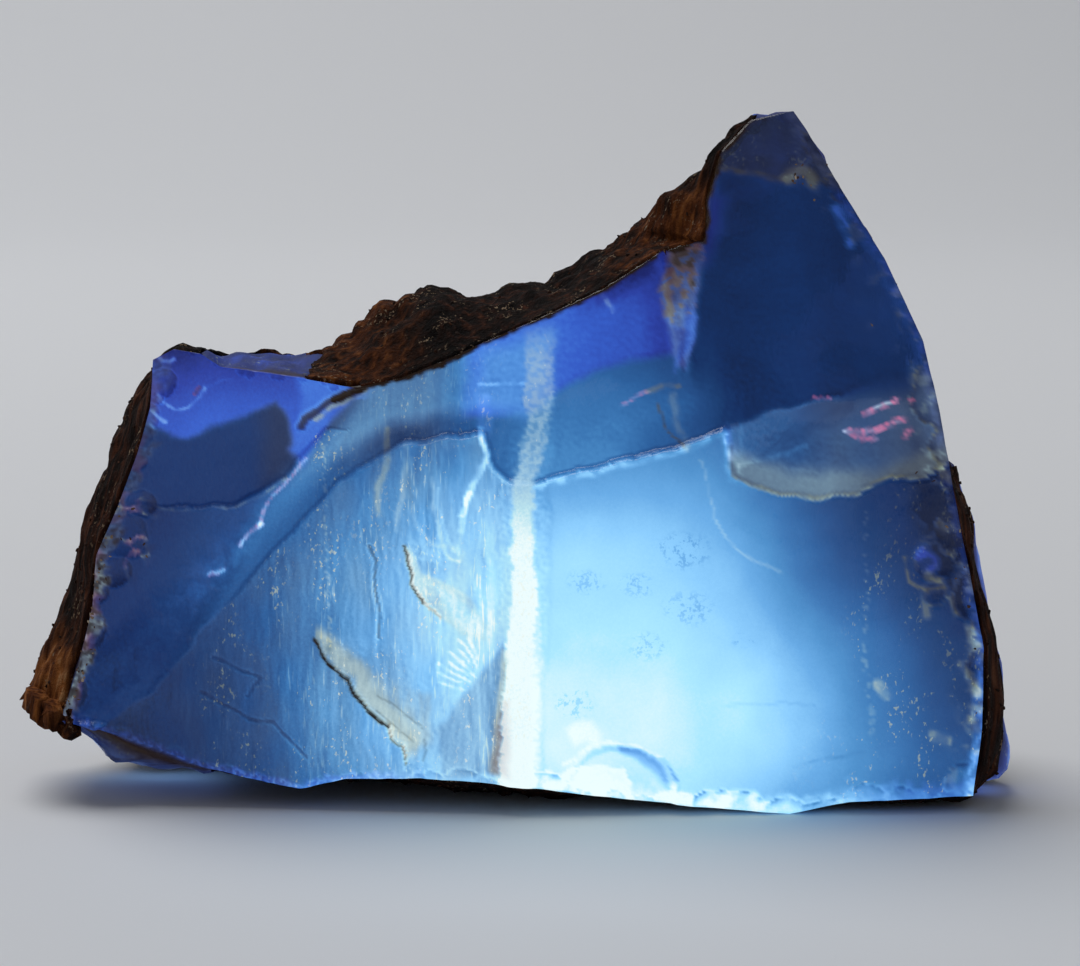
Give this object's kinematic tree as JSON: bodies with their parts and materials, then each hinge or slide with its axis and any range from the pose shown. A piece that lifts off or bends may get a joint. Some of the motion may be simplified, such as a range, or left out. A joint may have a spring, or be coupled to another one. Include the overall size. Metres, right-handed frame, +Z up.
{
  "type": "rough blue amber",
  "caption": "Rough nugget of blue amber with a fresh stepped blue fracture face, a tall thin spire and old brown bark-like rind behind, resting on a flat base.",
  "frame": {"origin": "centre of the bounding box in plan, on the plane of the flat base", "axes": "+Z up, -Y out of the fresh fracture face, +X to the right seen from the front"},
  "size_m": [0.0954, 0.0394, 0.0653],
  "materials": {
    "blue_amber": "see-through resin, glossy where freshly broken at the front, under a dull brown rind at the sides and back"
  },
  "bodies": {
    "root": {"rough_amber": "blue_amber"}
  },
  "joints": []
}
